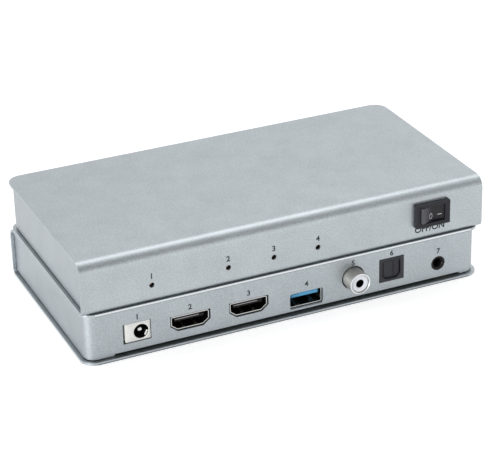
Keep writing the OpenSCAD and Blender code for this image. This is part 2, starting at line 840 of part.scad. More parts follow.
at_upper() switch_rocker();  // upper_switch_rocker
at_upper() switch_terminals();  // upper_switch_terminals
at_upper() lights();  // upper_lights
at_upper() chips();  // upper_chips
at_upper() heat_sink();  // upper_heat_sink
at_upper() capacitors();  // upper_capacitors
at_upper() coils();  // upper_coils
at_upper() switch_wires();  // upper_switch_wires
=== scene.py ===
import math
from functools import partial
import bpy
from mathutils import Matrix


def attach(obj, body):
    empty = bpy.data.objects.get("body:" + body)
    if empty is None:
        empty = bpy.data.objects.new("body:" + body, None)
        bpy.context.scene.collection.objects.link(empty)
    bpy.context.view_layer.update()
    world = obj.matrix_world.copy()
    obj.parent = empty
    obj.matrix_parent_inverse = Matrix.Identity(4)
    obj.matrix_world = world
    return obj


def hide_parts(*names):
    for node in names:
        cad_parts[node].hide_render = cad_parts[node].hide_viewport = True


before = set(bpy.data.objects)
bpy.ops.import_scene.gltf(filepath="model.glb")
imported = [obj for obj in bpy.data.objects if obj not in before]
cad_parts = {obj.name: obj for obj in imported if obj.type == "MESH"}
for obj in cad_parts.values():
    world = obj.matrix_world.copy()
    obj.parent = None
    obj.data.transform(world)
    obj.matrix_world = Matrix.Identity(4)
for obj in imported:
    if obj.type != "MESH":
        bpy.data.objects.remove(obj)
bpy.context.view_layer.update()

from types import SimpleNamespace

import bmesh
import bpy
from mathutils import Matrix, Vector

# Sizes below are millimetres in one unit's own frame: sockets towards -Y, base at z = 0
metre = 0.001
unitSizes = dict(
    height=20.2, panelY=-39.5, wallY=41.0, sheet=1.0, boardTop=5.2, rowStart=-59.15, rowEnd=62.4,
    # places along the socket row, as shares of its length
    sockets={"power": 0, "video_in": 0.1666, "video_out": 0.3558, "data": 0.5468,
             "coax": 0.7047, "optical": 0.8368, "audio": 1},
)
unit = SimpleNamespace(**unitSizes)
socketX = {label: unit.rowStart + share * (unit.rowEnd - unit.rowStart)
           for label, share in unit.sockets.items()}
unitPlace = {
    "lower": Matrix.Identity(4),
    "upper": Matrix.Translation((0, 0, unit.height)) @ Matrix.Rotation(math.pi, 4, "Z"),
}

# ---- small tools

meshing = {"smallestRadius": 0.03, "cornerSteps": 5, "barCornerSteps": 3, "creaseAngle": 32}


# sRGB hex to the linear colour that Blender's sockets want
def linearColour(hexCode):
    channels = [int(hexCode[i:i + 2], 16) / 255 for i in (1, 3, 5)]
    linear = [c / 12.92 if c <= 0.04045 else ((c + 0.055) / 1.055) ** 2.4 for c in channels]
    return (*linear, 1.0)


# adds one node: attributes by name, then sockets set to a value or linked to another's output
def addNode(tree, kind, attributes=None, sockets=None):
    node = tree.nodes.new(kind)
    for key, value in (attributes or {}).items():
        setattr(node, key, value)
    for key, value in (sockets or {}).items():
        if isinstance(value, bpy.types.NodeSocket):
            tree.links.new(value, node.inputs[key])
        else:
            node.inputs[key].default_value = value
    return node


# puts data into the scene as a new object
def addObject(name, data):
    made = bpy.data.objects.new(name, data)
    bpy.context.scene.collection.objects.link(made)
    return made


# outline of a box, counter-clockwise as (x, z) points
def boxCorners(width, height, x=0.0, z=0.0):
    return [(x - width / 2, z - height / 2), (x + width / 2, z - height / 2),
            (x + width / 2, z + height / 2), (x - width / 2, z + height / 2)]


# outline with cut lower corners; w and h are half its width and height
def cutCorners(x, z, w, h, cutX, cutZ):
    return [(x - w + cutX, z - h), (x + w - cutX, z - h), (x + w, z - h + cutZ), (x + w, z + h),
            (x - w, z + h), (x - w, z - h + cutZ)]


# a corner with the directions of the sides that lead to it and away from it
def cornerSides(corners, i):
    here = Vector(corners[i])
    sideIn = (here - Vector(corners[i - 1])).normalized()
    sideOut = (Vector(corners[(i + 1) % len(corners)]) - here).normalized()
    return here, sideIn, sideOut


# moves each side of a convex outline inwards
def insetCorners(corners, inset):
    moved = []
    for i in range(len(corners)):
        here, sideIn, sideOut = cornerSides(corners, i)
        normalIn, normalOut = Vector((-sideIn.y, sideIn.x)), Vector((-sideOut.y, sideOut.x))
        moved.append(here + (normalIn + normalOut) * (inset / (1 + normalIn.dot(normalOut))))
    return moved


# replaces each corner by an arc of steps + 1 points
def roundCorners(corners, radius, steps):
    points = []
    for i in range(len(corners)):
        here, sideIn, sideOut = cornerSides(corners, i)
        turn = -sideIn.angle_signed(sideOut)
        start = here - sideIn * (radius * math.tan(turn / 2))
        centre = start + Vector((-sideIn.y, sideIn.x)) * radius
        for k in range(steps + 1):
            arm = start - centre
            arm.rotate(Matrix.Rotation(turn * k / steps, 2))
            points.append(centre + arm)
    return points


# closed ring of 3-D points from a rounded outline, pulled in by inset, at depth y
def outlineRing(corners, radius, inset, y, steps):
    corner = max(radius - inset, meshing["smallestRadius"])
    points = roundCorners(insetCorners(corners, inset), corner, steps)
    return [Vector((p.x, y, p.y)) for p in points]


def turnAngles(count):
    return [2 * math.pi * i / count for i in range(count)]


# lays out a profile of (depth, distance) pairs; sign -1 measures the distance inwards
def laidOut(profile, start, base=0.0, sign=1):
    return [(start + depth, base + sign * distance) for depth, distance in profile]


# joins rings of equal length into a skin; the ends are capped, joined to each other or left open
def skinRings(bm, rings, ends="cap", material=0):
    loops = [[bm.verts.new(point) for point in ring] for ring in rings]
    pairs = list(zip(loops, loops[1:]))
    if ends == "join":
        pairs.append((loops[-1], loops[0]))
    for one, two in pairs:
        for i in range(len(one)):
            j = (i + 1) % len(one)
            bm.faces.new((one[i], one[j], two[j], two[i])).material_index = material
    if ends == "cap":
        for loop in (loops[0], loops[-1]):
            bm.faces.new(loop).material_index = material
    return loops


# skin through copies of one outline, from (depth, inset) pairs
def outlineSkin(bm, corners, radius, profile, ends="open", material=0,
                steps=meshing["cornerSteps"]):
    rings = [outlineRing(corners, radius, inset, y, steps) for y, inset in profile]
    return skinRings(bm, rings, ends, material)


# skin turned about an axis along Y, from (depth, radius) pairs
def turnedSkin(bm, x, z, profile, ends="open", material=0, count=64):
    rings = [[Vector((x + radius * math.cos(a), y, z + radius * math.sin(a)))
              for a in turnAngles(count)] for y, radius in profile]
    return skinRings(bm, rings, ends, material)


# flat face between an outer loop and an inner one
def fillBetween(bm, loops):
    edges = [bm.edges.get((loop[i - 1], loop[i])) for loop in loops for i in range(len(loop))]
    made = bmesh.ops.triangle_fill(bm, edges=edges, use_beauty=True)
    for face in (f for f in made["geom"] if isinstance(f, bmesh.types.BMFace)):
        face.material_index = 0


# solid bar with broken edges, from y0 to y1
def addBar(bm, corners, y0, y1, radius, edge, material=0):
    profile = [(y0, edge), (y0 + edge, 0), (y1 - edge, 0), (y1, edge)]
    outlineSkin(bm, corners, radius, profile, "cap", material, meshing["barCornerSteps"])


# thin bent strip that follows (y, z) points at x, such as a stamped spring or a contact
def addStrip(bm, x, width, path, thickness, turn=None):
    section = [(-0.5, -0.5), (0.5, -0.5), (0.5, 0.5), (-0.5, 0.5)]
    rings = [[Vector((x + i * width, y, z + k * thickness)) for i, k in section] for y, z in path]
    if turn:
        rings = [[turn @ point for point in ring] for ring in rings]
    skinRings(bm, rings)


# round rod along X
def addRod(bm, x, y, z, radius, length, count):
    ring = [Vector((x - length / 2, y + radius * math.cos(a), z + radius * math.sin(a)))
            for a in turnAngles(count)]
    skinRings(bm, [[point + Vector((step, 0, 0)) for point in ring] for step in (0, length)])


# turns the mesh into an object of one unit, hangs it on its body and hides the nodes it stands for
def addPiece(name, bm, unitName, materials, nodes=(), body="unit"):
    bmesh.ops.recalc_face_normals(bm, faces=bm.faces[:])
    bm.transform(Matrix.Scale(metre, 4) @ unitPlace[unitName])
    crease = math.radians(meshing["creaseAngle"])
    for edge in bm.edges:
        edge.smooth = len(edge.link_faces) == 2 and edge.calc_face_angle(0) < crease
    for face in bm.faces:
        face.smooth = True
    mesh = bpy.data.meshes.new(name)
    bm.to_mesh(mesh)
    bm.free()
    for material in materials:
        mesh.materials.append(material)
    piece = addObject(f"{unitName}_{name}", mesh)
    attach(piece, f"{unitName}_{body}")
    if nodes:
        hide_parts(*[f"{unitName}_{node}" for node in nodes])


# ---- materials

grit = {
    "blast": 0.45,  # real glass-bead grain is about 0.1 mm, drawn coarser so that it shows
    "mottle": 9.0,  # slow change of tone that anodising leaves
    "mould": 0.35,  # spark-eroded texture of moulded housings
    "turning": 0.25,  # feed marks of a lathe
    "rolling": 0.3,  # rolling and plating marks of thin sheet, also the tooth of printed ink
    "weave": 0.8,  # glass cloth of the board, seen through its mask
}
# how the noise is read: its useful band, and the share of the slow change in the tone
noise = {"low": 0.3, "high": 0.7, "detail": 3.0, "slowDetail": 2.0, "roughness": 0.6,
         "slowShare": 0.16, "bumpStrength": 0.5}
alongX = (1, 0.1, 1)  # stretched marks of rolled or extruded metal
roundY = (0.2, 1, 0.2)  # marks that run round a part turned about Y


# material with fine grain in colour, roughness and bump, all sized in millimetres
def grainedMaterial(name, dark, light, roughness, spread, grain, bump,
                    metallic=0.0, slow=None, stretch=(1, 1, 1), shine=0.5):
    material = bpy.data.materials.new(name)
    material.use_nodes = True
    tree = material.node_tree
    shader = tree.nodes["Principled BSDF"]
    shader.inputs["Metallic"].default_value = metallic
    shader.inputs["Specular IOR Level"].default_value = shine
    place = addNode(tree, "ShaderNodeTexCoord").outputs["Object"]
    laid = addNode(tree, "ShaderNodeMapping", None, {"Vector": place, "Scale": stretch})
    fine = addNode(tree, "ShaderNodeTexNoise", None, {
        "Vector": laid.outputs["Vector"], "Scale": 1 / (grain * metre),
        "Detail": noise["detail"], "Roughness": noise["roughness"]}).outputs["Fac"]
    tone = fine
    if slow:
        drift = addNode(tree, "ShaderNodeTexNoise", None, {
            "Vector": place, "Scale": 1 / (slow * metre), "Detail": noise["slowDetail"]})
        tone = addNode(tree, "ShaderNodeMix", None, {
            0: noise["slowShare"], 2: fine, 3: drift.outputs["Fac"]}).outputs[0]
    ramp = addNode(tree, "ShaderNodeValToRGB", None, {"Fac": tone})
    stops = zip(ramp.color_ramp.elements, (noise["low"], noise["high"]), (dark, light))
    for stop, position, hexCode in stops:
        stop.position = position
        stop.color = linearColour(hexCode)
    tree.links.new(ramp.outputs["Color"], shader.inputs["Base Color"])
    gloss = addNode(tree, "ShaderNodeMapRange", None, {
        "Value": fine, "From Min": noise["low"], "From Max": noise["high"],
        "To Min": roughness - spread, "To Max": roughness + spread})
    tree.links.new(gloss.outputs["Result"], shader.inputs["Roughness"])
    relief = addNode(tree, "ShaderNodeBump", None, {
        "Height": fine, "Strength": noise["bumpStrength"], "Distance": bump * metre})
    tree.links.new(relief.outputs["Normal"], shader.inputs["Normal"])
    return material


grainedMetal = partial(grainedMaterial, metallic=1.0)

# sand-blasted, silver-anodised aluminium: satin grey with a fine sparkle, soft bend highlights
blastedShell = grainedMetal(
    "blastedAnodisedAluminium", "#a4abaf", "#cbd2d6", 0.45, 0.07, grit["blast"], 0.015,
    slow=grit["mottle"])
# the same finish on the inner sheet, a little tighter; its slightly darker tone is painted shade
shadedFrame = grainedMetal(
    "blastedAluminiumFramePaintedShade", "#a0a7ac", "#c4cbcf", 0.42, 0.06, grit["blast"], 0.013,
    slow=grit["mottle"])
# stamped, nickel-plated steel: bright rims with faint rolling lines
nickelSheet = grainedMetal(
    "stampedNickelSteel", "#c9cbc9", "#dcdddb", 0.22, 0.06, grit["rolling"], 0.004, stretch=alongX)
# turned and matt-plated brass: even soft grey with rings too fine to see one by one
turnedNickel = grainedMetal(
    "turnedMattNickel", "#abaaa6", "#c0bfba", 0.58, 0.06, grit["turning"], 0.010, stretch=roundY)
# the barrel's front rim, faced with a fine cut and brighter than its side; most of that extra
# brightness is a painted highlight
rimHighlightNickel = grainedMetal(
    "facedRimPaintedHighlight", "#e4e7ea", "#f1f4f7", 0.35, 0.05, grit["turning"], 0.004)
# stamped steel inside a socket, painted near black as the shade where hardly any light gets in
shadedNickel = grainedMetal(
    "stampedNickelPaintedShade", "#2b2a2a", "#353433", 0.45, 0.05, grit["rolling"], 0.004)
# cut edge of the sheet: a painted highlight, brighter than the sheet, with painted shade along its
# lower third
highlightedCutEdge = grainedMetal(
    "shearedEdgePaintedHighlight", "#dde1e4", "#e8ebed", 0.34, 0.04, grit["rolling"], 0.004)
# the bottom plate's edge: darker and duller than the top plate's, as its shaded copy, with painted
# contact shadow at its foot
shadedCutEdge = grainedMetal(
    "bottomEdgePaintedShade", "#b2b8bc", "#c0c6ca", 0.45, 0.05, grit["rolling"], 0.006)
# gold flash over stamped bronze: small warm glints inside the sockets
goldContact = grainedMetal(
    "goldFlashedContact", "#c8a457", "#dcbb70", 0.25, 0.05, grit["rolling"], 0.003)
# moulded ABS: slightly warm white, satin
whiteAbs = grainedMaterial(
    "mouldedWhiteAbs", "#e2e2df", "#ebebe8", 0.42, 0.06, grit["mould"], 0.006, slow=6.0)
# moulded acetal: clean cool white, smoother than the ABS
whiteAcetal = grainedMaterial(
    "mouldedWhiteAcetal", "#e8ebf2", "#f2f4f9", 0.35, 0.05, grit["mould"], 0.004)
# moulded PBT of the sockets' insides: warm black with a weak gloss
blackPbt = grainedMaterial(
    "mouldedBlackPbt", "#171414", "#1f1c1c", 0.38, 0.06, grit["mould"], 0.005, shine=0.2)
# moulded PBT in light blue: the data socket's tongue, satin
bluePbt = grainedMaterial("mouldedBluePbt", "#4a9ed2", "#68bbe6", 0.3, 0.05, grit["mould"], 0.004)
# painted highlight near the top of the black tongue's front: a grey, dull strip
tongueHighlight = grainedMaterial(
    "tonguePaintedHighlight", "#9a9a9c", "#aeaeb0", 0.5, 0.05, grit["mould"], 0.004)
# charcoal ABS with a matt spark-eroded face
charcoalAbs = grainedMaterial(
    "mouldedCharcoalAbs", "#333338", "#404146", 0.45, 0.07, grit["mould"], 0.010, shine=0.3)
# nylon with spark-eroded texture: dark grey-violet, dull
blackNylon = grainedMaterial(
    "mouldedBlackNylon", "#1f1f25", "#2b2b32", 0.48, 0.07, grit["mould"], 0.012, shine=0.3)
# the rocker's nylon, coarser and a little glossier than its bezel
rockerNylon = grainedMaterial(
    "mouldedRockerNylon", "#19191d", "#2a2a2f", 0.4, 0.06, grit["mould"], 0.016, shine=0.3)
# screen-printed epoxy ink: flat dark grey, a hair above the metal
printInk = grainedMaterial(
    "screenPrintedInk", "#2f3338", "#3b3f45", 0.55, 0.05, grit["rolling"], 0.002, shine=0.3)
# pad-printed ink on the rocker: flat light grey
markInk = grainedMaterial(
    "padPrintedWhiteInk", "#b1b2b3", "#c3c4c5", 0.5, 0.05, grit["rolling"], 0.002)
# cast epoxy with a warm tint: glossy, and dark from outside while the light is off
clearEpoxy = grainedMaterial("castClearEpoxy", "#ab998d", "#bda99c", 0.12, 0.03, 0.5, 0.002)
# green solder mask over glass laminate: satin, with the cloth just showing
solderMask = grainedMaterial(
    "solderMaskLaminate", "#1d5430", "#27653b", 0.35, 0.08, grit["weave"], 0.010, slow=7.0)
# turned brass of the posts: warm yellow with feed marks
turnedBrass = grainedMetal("turnedBrass", "#b89a52", "#cfb46e", 0.3, 0.06, grit["turning"], 0.004)
# zinc-plated steel screws: neutral silver, brighter than the blasted sheet
zincSteel = grainedMetal(
    "zincPlatedSteel", "#9da0a3", "#b2b4b6", 0.32, 0.06, grit["rolling"], 0.004)
# moulded epoxy of the chips: flat black
chipEpoxy = grainedMaterial("mouldedChipEpoxy", "#17171a", "#222226", 0.55, 0.08, 0.25, 0.008)
# extruded and anodised heat sink: grey with lines along the extrusion
extrudedSink = grainedMetal(
    "extrudedAnodisedAluminium", "#82888e", "#959aa0", 0.4, 0.06, grit["rolling"], 0.006,
    stretch=alongX)
# drawn aluminium cans of the capacitors: smooth and bright
drawnCan = grainedMetal("drawnAluminiumCan", "#b4b7ba", "#c6c8ca", 0.28, 0.06, 0.4, 0.004)
# pressed ferrite of the coils: dull dark grey, granular
pressedFerrite = grainedMaterial(
    "pressedFerrite", "#333436", "#414244", 0.6, 0.08, grit["rolling"], 0.012)
# extruded insulation of the leads: satin red
wireInsulation = grainedMaterial(
    "extrudedWireInsulation", "#a02c24", "#b83a30", 0.35, 0.05, 0.6, 0.006)

nodeMaterials = {
    "shell": blastedShell, "port_frame": shadedFrame, "main_board": solderMask,
    "standoffs": turnedBrass, "board_screws": zincSteel, "base_screws": zincSteel,
    "dc_body": whiteAbs, "dc_contacts": nickelSheet,
    "video_in_shell": nickelSheet, "video_in_tongue": blackPbt,
    "video_out_shell": nickelSheet, "video_out_tongue": blackPbt,
    "data_shell": nickelSheet, "data_tongue": bluePbt,
    "coax_body": blackPbt, "coax_barrel": turnedNickel, "coax_insulator": whiteAcetal,
    # the coax contact takes the near-black painted shade of a socket's inside
    "coax_contact": shadedNickel, "optical_body": charcoalAbs, "optical_door": charcoalAbs,
    "audio_jack": blackPbt, "switch_housing": blackNylon, "switch_rocker": rockerNylon,
    "switch_terminals": nickelSheet, "switch_wires": wireInsulation, "lights": clearEpoxy,
    "chips": chipEpoxy, "heat_sink": extrudedSink, "capacitors": drawnCan, "coils": pressedFerrite,
}
print("materials made:", len(bpy.data.materials))

# ---- painted light and shade that follow a place on the part

# turns an object's Z into the height above its own plate's foot, in millimetres
plateHeight = (("MULTIPLY_ADD", 1 / metre, unit.sheet), ("MODULO", unit.height),
               ("MODULO", unit.sheet))
paintedLight = {
    # axis, math on it, where the painted colour ends and the own one begins, painted colour, fade
    "shadeUnderTopPlate": ("Z", plateHeight, 0.3, 0.36, "#9da4a8", "LINEAR"),
    "contactShadow": ("Z", plateHeight, 0.45, 0.51, "#7d8387", "LINEAR"),
    "rockerSheen": ("X", (("ABSOLUTE",),), 54.0 * metre, 58.2 * metre, "#5a5a5f", "SMOOTHSTEP"),
}


# lays painted light and shade over a material's own colour, by where a point lies along an object
# axis
def addWear(material, axis, steps, paintedEnds, own, colour, fade):
    tree = material.node_tree
    base = tree.nodes["Principled BSDF"].inputs["Base Color"]
    clean = base.links[0].from_socket
    place = addNode(tree, "ShaderNodeTexCoord").outputs["Object"]
    along = addNode(tree, "ShaderNodeSeparateXYZ", None, {0: place}).outputs[axis]
    for operation, *values in steps:
        along = addNode(tree, "ShaderNodeMath", {"operation": operation}, {
            0: along, **dict(enumerate(values, 1))}).outputs[0]
    share = addNode(tree, "ShaderNodeMapRange", {"interpolation_type": fade}, {
        "Value": along, "From Min": paintedEnds, "From Max": own})
    mixed = addNode(tree, "ShaderNodeMix", {"data_type": "RGBA"}, {
        0: share.outputs[0], 6: linearColour(colour), 7: clean})
    tree.links.new(mixed.outputs[2], base)


addWear(highlightedCutEdge, *paintedLight["shadeUnderTopPlate"])  # painted shade along the foot of the top plate's cut edge
addWear(shadedCutEdge, *paintedLight["contactShadow"])  # painted contact shadow along the foot of the bottom plate's cut edge
addWear(rockerNylon, *paintedLight["rockerSheen"])  # painted sheen: the rocker lighter towards its end nearer the unit's middle

# ---- the frame's own nodes

# width of the broken edge on the nodes that show their own solid
edgeBreak = {"shell": 0.13, "port_frame": 0.13, "base_screws": 0.08, "board_screws": 0.1,
             "standoffs": 0.08}
edgeWork = {"weld": 0.002, "flatAngle": 0.5, "segments": 2, "sharpAngle": 40, "onEdge": 0.05}


# the plates' cut edges above and below the sockets get tones of their own: a painted highlight on
# the top plate's, a shaded copy on the bottom plate's
def dressCutEdges(node, toUnit):
    node.data.materials.append(highlightedCutEdge)
    node.data.materials.append(shadedCutEdge)
    for polygon in node.data.polygons:
        centre = toUnit @ (node.matrix_world @ polygon.center / metre)
        if abs(centre.y + unit.wallY) < edgeWork["onEdge"]:
            polygon.material_index = 1 if centre.z > unit.height / 2 else 2


def breakEdges(node, width):
    weld = node.modifiers.new("weld", "WELD")
    weld.merge_threshold = edgeWork["weld"] * metre
    flat = node.modifiers.new("joinFlatFaces", "DECIMATE")
    flat.decimate_type = "DISSOLVE"
    flat.angle_limit = math.radians(edgeWork["flatAngle"])
    bevel = node.modifiers.new("brokenEdge", "BEVEL")
    bevel.width = width * metre
    bevel.segments = edgeWork["segments"]
    bevel.limit_method = "ANGLE"
    bevel.angle_limit = math.radians(edgeWork["sharpAngle"])
    even = node.modifiers.new("evenNormals", "WEIGHTED_NORMAL")
    even.keep_sharp = False


for unitName in unitPlace:
    for part, material in nodeMaterials.items():
        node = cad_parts[f"{unitName}_{part}"]
        node.data.materials.clear()
        node.data.materials.append(material)
        if part == "shell":
            dressCutEdges(node, unitPlace[unitName].inverted())
        if part in edgeBreak:
            breakEdges(node, edgeBreak[part])
print("frame nodes dressed")

# ---- what the stamped sockets share; profiles are (depth, distance) pairs

stamping = {
    "lipOutside": ((0.15, 0.0), (0.04, 0.05), (0.0, 0.13)),  # distance from the outside
    "lipInside": ((0.0, 0.12), (0.05, 0.03)),  # distance from the inside
    "liningStart": 0.3, "footLength": 1.6, "footCorner": 0.06, "footEdge": 0.05,
}


# stamped tube wall with a rounded front lip; from the lip back its inside is painted near black as
# shade
def addTube(bm, corners, radius, wall, front, back):
    lining = front + stamping["liningStart"]
    profile = [(back, wall), (back, 0), *laidOut(stamping["lipOutside"], front),
               *laidOut(stamping["lipInside"], front, wall, -1), (lining, wall)]
    outlineSkin(bm, corners, radius, profile)
    outlineSkin(bm, corners, radius, [(lining, wall), (back, wall)], "open", 1)


# tab soldered to the board, centred at depth y
def addFoot(bm, corners, y):
    half = stamping["footLength"] / 2
    addBar(bm, corners, y - half, y + half, stamping["footCorner"], stamping["footEdge"])


# ---- video sockets

videoSocket = dict(
    z=8.35, halfWidth=7.45, halfHeight=2.7, bevelWidth=2.4, bevelHeight=1.9,
    corner=0.75, wall=0.4, recess=0.45, depth=11.0, footFront=3.5, footBack=2.5,
    springX=2.3, springWidth=1.1, springThick=0.14, springLift=0.02,
    springPath=((0.9, 0.0), (1.5, 0.35), (2.2, 0.35), (5.2, 0.0)),
    tongueWidth=11.8, tongueLow=0.1, tongueThick=1.4, tongueRecess=0.9, tongueCorner=0.25,
    tongueEdge=0.22, tongueRoot=0.3, blockLength=2.5, blockPlay=0.02, blockEdge=0.1,
    ribWidth=0.5, ribTaller=1.4, ribIn=0.6, ribLength=2.2, ribRoot=0.2, ribCorner=0.1, ribEdge=0.15,
    topContacts=10, lowContacts=9, contactPitch=1.0, contactWidth=0.5, contactThick=0.06,
    contactProud=0.3, contactDip=0.08, contactStart=0.35, contactFlat=0.7, contactEnd=0.4,
    # painted highlight line on the tongue: share of its width, then how it lies
    lineShare=0.8, lineShift=0.3, lineThick=0.32, lineDrop=0.25, lineProud=0.04, lineDepth=0.3,
    lineCorner=0.08, lineEdge=0.03,
)


def addVideoSocket(unitName, label):
    s = SimpleNamespace(**videoSocket)
    x = socketX[label]
    front = unit.panelY + s.recess
    back = front + s.depth
    bm = bmesh.new()
    corners = cutCorners(x, s.z, s.halfWidth, s.halfHeight, s.bevelWidth, s.bevelHeight)
    addTube(bm, corners, s.corner, s.wall, front, back)
    inner = s.halfHeight - s.wall
    for side in (-1, 1):
        for edge in (-1, 1):  # leaf springs above and below the tongue
            z = s.z + edge * (inner + s.springLift)
            path = laidOut(s.springPath, front, z, -edge)
            addStrip(bm, x + side * s.springX, s.springWidth, path, s.springThick)
        footX = x + side * (s.halfWidth - s.wall / 2)
        foot = boxCorners(s.wall, s.z - unit.boardTop, footX, (s.z + unit.boardTop) / 2)
        for y in (unit.panelY + s.footFront, back - s.footBack):
            addFoot(bm, foot, y)
    addPiece(f"{label}_shell_stamped", bm, unitName,
             [nickelSheet, shadedNickel], [f"{label}_shell"])

    bm = bmesh.new()
    tongueZ = s.z + s.tongueLow + s.tongueThick / 2
    tongueY = front + s.tongueRecess
    blockY = back - s.blockLength
    tongue = boxCorners(s.tongueWidth, s.tongueThick, x, tongueZ)
    addBar(bm, tongue, tongueY, blockY + s.tongueRoot, s.tongueCorner, s.tongueEdge)
    block = insetCorners(corners, s.wall + s.blockPlay)
    addBar(bm, block, blockY, back, s.corner - s.wall, s.blockEdge)
    for side in (-1, 1):  # ribs that join the tongue to the block
        rib = boxCorners(s.ribWidth, s.tongueThick + s.ribTaller,
                         x + side * (s.tongueWidth / 2 - s.ribIn), tongueZ)
        addBar(bm, rib, blockY - s.ribLength, blockY + s.ribRoot, s.ribCorner, s.ribEdge)
    addPiece(f"{label}_tongue_moulded", bm, unitName, [blackPbt],
             [f"{label}_tongue"])

    bm = bmesh.new()
    for count, edge in ((s.topContacts, 1), (s.lowContacts, -1)):
        z = tongueZ + edge * (s.tongueThick / 2 + s.contactThick * s.contactProud)
        path = [(tongueY + s.contactStart, z - edge * s.contactDip),
                (tongueY + s.contactFlat, z), (blockY - s.contactEnd, z)]
        for i in range(count):
            contactX = x + (i - (count - 1) / 2) * s.contactPitch
            addStrip(bm, contactX, s.contactWidth, path, s.contactThick)
    addPiece(f"{label}_contacts", bm, unitName, [goldContact])

    bm = bmesh.new()  # painted highlight line near the top of the tongue's front
    length = s.tongueWidth * s.lineShare
    line = boxCorners(length, s.lineThick, x - (s.tongueWidth - length) / 2 + s.lineShift,
                      tongueZ + s.tongueThick / 2 - s.lineDrop - s.lineThick / 2)
    addBar(bm, line, tongueY - s.lineProud, tongueY + s.lineDepth, s.lineCorner, s.lineEdge)
    addPiece(f"{label}_tongue_line", bm, unitName, [tongueHighlight])


# ---- data socket

dataSocket = dict(
    z=6.1, width=13.2, height=6.0, corner=0.8, wall=0.4, recess=1.0, depth=17.0,
    lowSpringX=3.0, lowSpringWidth=2.0, springThick=0.16,
    lowSpringPath=((1.0, 0.0), (2.2, 0.0), (4.6, 0.55), (5.6, 0.5), (7.5, 0.0)),
    sideSpringZ=0.9, sideSpringWidth=1.7,
    sideSpringPath=((1.0, 0.0), (2.2, 0.0), (4.4, 0.45), (5.4, 0.4), (7.2, 0.0)),
    footWidth=1.2, footLap=0.05,
    tongueWidth=11.3, tongueThick=1.9, tongueTop=2.25, tongueRecess=0.7,
    tongueCorner=0.2, tongueChamfer=0.5, tongueRoot=0.3,
    blockLength=5.0, blockPlay=0.05, blockCorner=0.35, blockEdge=0.1, contactThick=0.06,
    # rows of contacts: places along x, width, path under the tongue
    longRow=((-3.5, -1.0, 1.0, 3.5), 1.0, ((3.0, -0.02), (9.5, -0.02))),
    shortRow=((-4.0, -2.0, 0.0, 2.0, 4.0), 0.8, ((0.5, 0.1), (1.0, -0.03), (2.4, -0.03))),
)


def addDataSocket(unitName):
    s = SimpleNamespace(**dataSocket)
    x = socketX["data"]
    front = unit.panelY + s.recess
    back = front + s.depth
    corners = boxCorners(s.width, s.height, x, s.z)
    bm = bmesh.new()
    addTube(bm, corners, s.corner, s.wall, front, back)
    low = s.z - (s.height / 2 - s.wall)
    innerW = s.width / 2 - s.wall
    for side in (-1, 1):
        path = laidOut(s.lowSpringPath, front, low)
        addStrip(bm, x + side * s.lowSpringX, s.lowSpringWidth, path, s.springThick)
        turn = Matrix.Translation((x, 0, s.z)) @ Matrix.Rotation(side * math.pi / 2, 4, "Y")
        path = laidOut(s.sideSpringPath, front, -innerW)
        addStrip(bm, side * s.sideSpringZ, s.sideSpringWidth, path, s.springThick, turn)
        footX = x + side * (s.width / 2 + s.footWidth / 2 - s.footLap)
        foot = boxCorners(s.footWidth, s.wall, footX, unit.boardTop + s.wall / 2)
        addFoot(bm, foot, front + s.depth / 2)
    addPiece("data_shell_stamped", bm, unitName,
             [nickelSheet, shadedNickel], ["data_shell"])

    bm = bmesh.new()
    tongueZ = s.z + s.tongueTop - s.tongueThick / 2
    tongueY = front + s.tongueRecess
    blockY = back - s.blockLength
    tongue = boxCorners(s.tongueWidth, s.tongueThick, x, tongueZ)
    addBar(bm, tongue, tongueY, blockY + s.tongueRoot, s.tongueCorner, s.tongueChamfer)
    block = insetCorners(corners, s.wall + s.blockPlay)
    addBar(bm, block, blockY, back, s.blockCorner, s.blockEdge, 1)
    addPiece("data_tongue_moulded", bm, unitName, [bluePbt, blackPbt],
             ["data_tongue"])

    bm = bmesh.new()
    under = tongueZ - s.tongueThick / 2
    for offsets, width, points in (s.longRow, s.shortRow):
        path = laidOut(points, tongueY, under)
        for offset in offsets:
            addStrip(bm, x + offset, width, path, s.contactThick)
    addPiece("data_contacts", bm, unitName, [goldContact])


# ---- power socket

powerSocket = dict(
    z=8.975, width=9.7, height=7.35, recess=0.1, depth=13.0, corner=0.35,
    edge=0.18, edgeMiddle=0.35,
    boreShift=1.3, boreZ=8.75, boreRadius=2.8, boreDepth=9.5, lip=0.15,
    # rounded nose as (depth, radius)
    pinNose=((0.0, 0.05), (0.08, 0.4725), (0.3, 0.819), (0.7, 1.008), (1.05, 1.05)),
    pinEnd=(10.5, 1.05), pinRecess=1.2, pinSides=40,
    # side spring with its bent lip as (depth, distance from the bore's axis)
    leafPath=((0.4, 2.74), (0.22, 2.5), (0.18, 2.1), (0.4, 1.95), (2.2, 2.0), (8.6, 2.6)),
    leafAngle=-27.0, leafWidth=2.0, leafThick=0.16,
)


